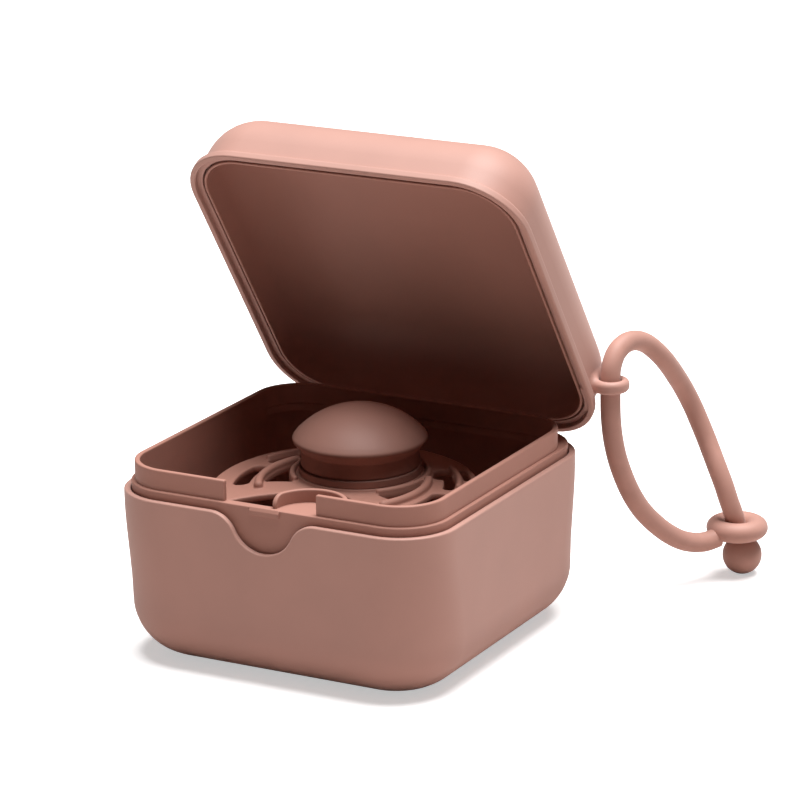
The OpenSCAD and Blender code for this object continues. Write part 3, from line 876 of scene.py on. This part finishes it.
tray = {
    "hub": (0, 4.1),
    "middle": (0, -4.5),
    "radius": 32.5,
    "plate": (37.7, 39.3),
    "edge": 0.4,
    "hubRadius": 15.5,
    "hubTop": 40.0,
    "bore": 12.05,
    "notch": (-23.3, 11.6),  # middle along Y and radius
    "flank": [(-10.6, -17.6), (-14.4, -20.2), (-17.4, -22.8), (-23.4, -28.6), (-30, -60), (30, -60),
              (23.4, -28.6), (17.4, -22.8), (14.4, -20.2), (10.6, -17.6), (0, -16)],
    # on the right, which the left mirrors: centre, inner and outer radius, start and end angle
    "slots": [
        ("middle", 23.0, 27.0, -25, 9), ("middle", 24.3, 27.0, 16, 38), ("hub", 17.8, 22.4, 12, 33),
        ("middle", 29.2, 31.0, 31, 46),
    ],
    # a slot between an arc about the middle and one about the hub: both radii, start and end angle
    "crescent": (19.4, 17.3, -20, 26),
    # centre, radius, start and end angle, width and height
    "ribs": [
        ("middle", 20.5, -33.5, 27, 2.0, 1.7), ("middle", 28.0, 20, 49, 1.5, 1.0),
        ("hub", 16.6, -46, 90, 1.4, 1.2),
    ],
    "frontSoft": 1.5,
    "notchEdge": 0.8,
    "slotEdge": 0.3,
    "ribFoot": 0.45,
    "droop": 0.8,
    "droopOver": 17,
    "cell": 0.26,
    "room": ((-33, -37.5, 36.2), (33, 28.5, 42)),
}


def trayField(s):
    hub, middle = np.array(s["hub"]), np.array(s["middle"])

    def field(x, y, z):
        flatX, flatY = x[:, :, 0], y[:, :, 0]
        side = np.abs(flatX)
        away = np.hypot(flatX - hub[0], flatY - hub[1])
        out = np.hypot(flatX - middle[0], flatY - middle[1])
        centers = {"hub": (side, flatY - hub[1]), "middle": (side, flatY - middle[1])}
        flat = np.maximum(out - s["radius"], s["bore"] - away)
        front = smoothMin(np.hypot(flatX, flatY - s["notch"][0]) - s["notch"][1],
                          polygonField(flatX, flatY, s["flank"]), s["frontSoft"])
        flat = smoothMax(flat, -front, s["notchEdge"])
        for center, inner, outer, start, end in s["slots"]:
            half = (outer - inner) / 2
            ends = math.degrees(half / (inner + half))
            slot = arcField(*centers[center], inner + half, start + ends, end - ends) - half
            flat = smoothMax(flat, -slot, s["slotEdge"])
        reach, inner, start, end = s["crescent"]
        angle = np.degrees(np.arctan2(flatY - middle[1], side))
        beyond = np.radians(np.maximum(start - angle, angle - end)) * (reach - 0.4)
        slot = smoothMax(smoothMax(out - reach, inner - away, s["notchEdge"]), beyond, s["notchEdge"])
        flat = smoothMax(flat, -slot, s["slotEdge"])
        drop = s["droop"] * np.clip((away - s["hubRadius"]) / s["droopOver"], 0, 1.3) ** 2
        level = z + drop[:, :, None]
        low, high = s["plate"]
        plate = drawnOut(flat[:, :, None], level, low, high, s["edge"])
        ring = np.maximum(away - s["hubRadius"], s["bore"] - away)
        plate = smoothMin(plate, drawnOut(ring[:, :, None], level, low + 0.3, s["hubTop"], 0.3), 0.4)
        for center, radius, start, end, width, height in s["ribs"]:
            line = arcField(*centers[center], radius, start, end)[:, :, None]
            rise = np.maximum(level - (high + height - width / 2), 0)
            rib = np.maximum(np.hypot(line, rise) - width / 2, low + 0.4 - level)
            plate = smoothMin(plate, rib, s["ribFoot"])
        return plate

    return field


trayPlate = skinOf(trayField(tray), *tray["room"], tray["cell"])
piece("tray_plate_moulding", [trayPlate], materials["trayShadedPlastic"], "insert",
      ("tray_plate",), sharp=70)
print("tray made:", len(trayPlate[0]), "points")

# knob

knob = {
    "center": (0, 4.1, 40),
    "bore": 12.05,
    "foot": (15.0, 1.9),
    "groove": (14.2, 2.2),
    "neck": (14.5, 6.0),
    "rim": (16.8, 8.5),
    "dome": (21.64, -4.94),  # the dome's radius and the height of its middle
    "domeFrom": 0.08,  # how far above the rim, in radians, the dome's own points start
    "thickness": 1.6,
}


def knobProfile(s):
    big, middle = s["dome"]
    rimR, rimZ = s["rim"]
    start = math.acos((rimZ + 0.2 - middle) / big) - s["domeFrom"]
    outer = roundedPath([
        (s["bore"], 0, 0), (s["foot"][0], 0, 0.25), (*s["foot"], 0.3), (s["groove"][0], s["foot"][1], 0.1),
        (*s["groove"], 0.1), (s["neck"][0], s["groove"][1], 0.12), (*s["neck"], 0.6),
        (rimR, rimZ, 1.1), (big * math.sin(start), middle + big * math.cos(start), 0),
    ], step=15, hold=0.15)
    dome = [(big * math.sin(a), middle + big * math.cos(a)) for a in np.linspace(start, 0, 40)[1:]]
    small = big - s["thickness"]
    inside = math.asin(s["bore"] / small)
    under = [(small * math.sin(a), middle + small * math.cos(a)) for a in np.linspace(0, inside, 16)]
    return [tuple(p) for p in outer] + dome + under


piece("lift_knob_moulding", [lathe(knobProfile(knob) + [(knob["bore"], 0.0)], knob["center"])],
      materials["knobShadedPlastic"], "insert", ("lift_knob",))
print("knob made")

# lid, drawn shut and turned open

lid = {
    "open": 55.6,
    "rim": 43.0,
    "top": 64.15,
    "radius": 14.75,
    "wall": 1.5,
    "edge": 14.0,
    "bead": 16.15,
    "beadWidth": 1.5,
    "beadHeight": 2.2,
    "web": 44.3,
    "linerRadius": 13.1,
    "linerTop": 62.25,
    "linerEdge": 12.1,
    "cavity": 12.05,
    "cavityTop": 61.2,
    "cavityEdge": 11.05,
    "lip": (12.75, 44.1, 45.7),  # radius, underside and top while the lid is shut
    "eyelet": (47.9, 31.5, 49.4),
    "eyeletRing": (4.7, 2.7, 3.2),  # outer radius, hole and thickness
    "eyeletArm": 3.4,
    "eyeletRoot": 7.2,
    "eyeletSoft": (0.8, 2.4, 1.0),  # fillets at the arm, at the lid and in the hole
    "eyeletRoom": (41.5, 53, 8),  # from and to along X, and the reach the other ways
}

pivot = Matrix.Translation((0, hinge["y"], hinge["z"]))
lidPose = pivot @ Matrix.Rotation(math.radians(-lid["open"]), 4, "X") @ pivot.inverted()


def lidWall(x, y, z, s):
    # distance to the lid's outer face, whose top edge is rounded
    q = [np.abs(v) - axis for v in (x, y)]
    side = np.hypot(np.maximum(q[0], 0), np.maximum(q[1], 0)) + np.minimum(np.maximum(q[0], q[1]), 0)
    side = side - s["radius"] + s["edge"]
    rise = z - s["top"] + s["edge"]
    return (np.hypot(np.maximum(side, 0), np.maximum(rise, 0))
            + np.minimum(np.maximum(side, rise), 0) - s["edge"])


def eyeletField(s):
    ex, ey, ez = s["eyelet"]
    outer, hole, thick = s["eyeletRing"]
    armSoft, rootSoft, holeSoft = s["eyeletSoft"]
    c, n = math.cos(math.radians(s["open"])), math.sin(math.radians(s["open"]))

    def field(x, y, z):
        # the eyelet is level once the lid is open, so it leans while the lid is shut
        u, v, w = x - ex, (y - ey) * c + (z - ez) * n, -(y - ey) * n + (z - ez) * c
        flat = np.hypot(u, v)
        body = drawnOut(flat - outer, w, -thick / 2, thick / 2, 1.3)
        arm = drawnOut(np.maximum(np.abs(v) - s["eyeletArm"], u - 0.5), w, -thick / 2, thick / 2, 1.2)
        body = smoothMin(body, arm, armSoft)
        outside = lidWall(x, y, z, s)
        wall = np.maximum(outside + 0.04, -outside - 1.2)
        root = np.hypot(y - ey, z - ez) - s["eyeletRoot"]
        wall = np.maximum(wall, np.maximum(s["rim"] + 0.5 - z, root))
        body = smoothMin(body, wall, rootSoft)
        return smoothMax(body, hole - flat, holeSoft)

    return field


def makeLid(s):
    r, wall, bead = s["radius"], s["wall"], s["bead"]
    rim, top = s["rim"], s["top"]
    beadTop = rim + s["beadHeight"]
    inBead = bead - s["beadWidth"]
    stations = squareStations()
    shell = squareLoft(roundedPath([
        (core, top, 0), (r, top, s["edge"]), (r, beadTop, 0.6), (bead, beadTop, 0.75),
        (bead, rim, 0.4), (inBead, rim, 0.3), (inBead, s["web"], 0.1), (r - wall, s["web"], 0.1),
        (r - wall, top - wall, s["edge"] - wall), (core, top - wall, 0),
    ], step=6, hold=0.2), stations, axis)
    parts = [shell] + [hingeBlock(*span, hinge["lidArm"]) for span in hinge["lidSpans"]]
    ey, ez = s["eyelet"][1:]
    start, end, reach = s["eyeletRoom"]
    parts.append(skinOf(eyeletField(s), (start, ey - reach, ez - reach), (end, ey + reach, ez + reach), 0.2))
    parts = [turned(p, lidPose) for p in parts]
    piece("lid_shell_moulding", parts, materials["shellPlastic"], "lid",
          ("lid_shell",))
    lip, lipLow, lipHigh = s["lip"]
    lining = squareLoft(roundedPath([
        (core, s["linerTop"], 0), (s["linerRadius"], s["linerTop"], s["linerEdge"]),
        (s["linerRadius"], lipHigh, 0.1), (lip, lipHigh, 0.1), (lip, lipLow, 0.25),
        (s["cavity"], lipLow, 0.3), (s["cavity"], s["cavityTop"], s["cavityEdge"]),
        (core, s["cavityTop"], 0),
    ], step=6, hold=0.2), stations, axis)
    piece("lid_liner_moulding", [turned(lining, lidPose)], materials["linerShadedPlastic"], "lid",
          ("lid_liner",))


makeLid(lid)
print("lid made")

# better materials on the solids that keep their own shape

kept = {"hinge_pin": "drawnSteel", "tray_column": "trayShadedPlastic"}
for name, material in kept.items():
    for thing in bpy.context.scene.objects:
        if thing.get("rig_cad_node") == name:
            for holder in thing.material_slots:
                holder.material = materials[material]

# floor and light

studio = {
    "floor": 6.0,
    "floorTone": 0.8,
    "fleckScale": 300.0,
    "bounceTone": (0.66, 0.58, 0.55),  # the paper as the object sees it
    "glow": 0.5,  # what the camera sees on top of the paper's own light
    "light": (0.02, 0.015, 0.013),  # from all round; the camera sees white instead
    "keyWay": (0.10, 0.11, 1.0),
    "keyAim": (0, 0, 0.04),
    "keyDistance": 1.6,
    "keySize": 1.3,
    "keyPower": 62.0,
}


def makeStage(s):
    half = s["floor"] / 2
    mesh = bpy.data.meshes.new("studioFloor")
    mesh.from_pydata([(-half, -half, 0), (half, -half, 0), (half, half, 0), (-half, half, 0)], [],
                     [(0, 1, 2, 3)])
    floor = bpy.data.objects.new("studioFloor", mesh)
    bpy.context.scene.collection.objects.link(floor)
    shader = Shader(bpy.data.materials.new("studioPaper"))
    place = shader.node("ShaderNodeTexCoord", None, None, out=3)
    white = (s["floorTone"],) * 3
    fleck = shader.noise(place, s["fleckScale"], 3.0)
    paper = shader.blendColor(fleck, shaded(white, 1), shaded(white, 1.0125))
    lit = shader.node("ShaderNodeBsdfDiffuse", None, {"Color": paper})
    glow = shader.node("ShaderNodeEmission", None, {"Color": (1, 1, 1, 1), "Strength": s["glow"]})
    seen = shader.node("ShaderNodeLightPath", None, None, out=0)
    both = shader.node("ShaderNodeAddShader", None, {0: lit, 1: glow})
    bounce = shader.node("ShaderNodeBsdfDiffuse", None, {"Color": (*s["bounceTone"], 1)})
    paper = shader.node("ShaderNodeMixShader", None, {0: seen, 1: bounce, 2: both})
    mesh.materials.append(shader.finish(paper))

    sky = Shader(bpy.data.worlds.new("studioWorld"))
    bpy.context.scene.world = sky.owner
    soft = sky.node("ShaderNodeBackground", None, {"Color": (*s["light"], 1), "Strength": 1.0})
    plain = sky.node("ShaderNodeBackground", None, {"Color": (1, 1, 1, 1), "Strength": 1.0})
    seen = sky.node("ShaderNodeLightPath", None, None, out=0)
    sky.finish(sky.node("ShaderNodeMixShader", None, {0: seen, 1: soft, 2: plain}), "ShaderNodeOutputWorld")

    data = bpy.data.lights.new("keyLight", "AREA")
    data.shape, data.size = "DISK", s["keySize"]
    data.energy = s["keyPower"]
    key = bpy.data.objects.new("keyLight", data)
    way = Vector(s["keyWay"]).normalized()
    place = Matrix.Translation(Vector(s["keyAim"]) + way * s["keyDistance"])
    key.matrix_world = place @ way.to_track_quat("Z", "Y").to_matrix().to_4x4()
    bpy.context.scene.collection.objects.link(key)


makeStage(studio)
bpy.context.scene.view_settings.view_transform = "Standard"
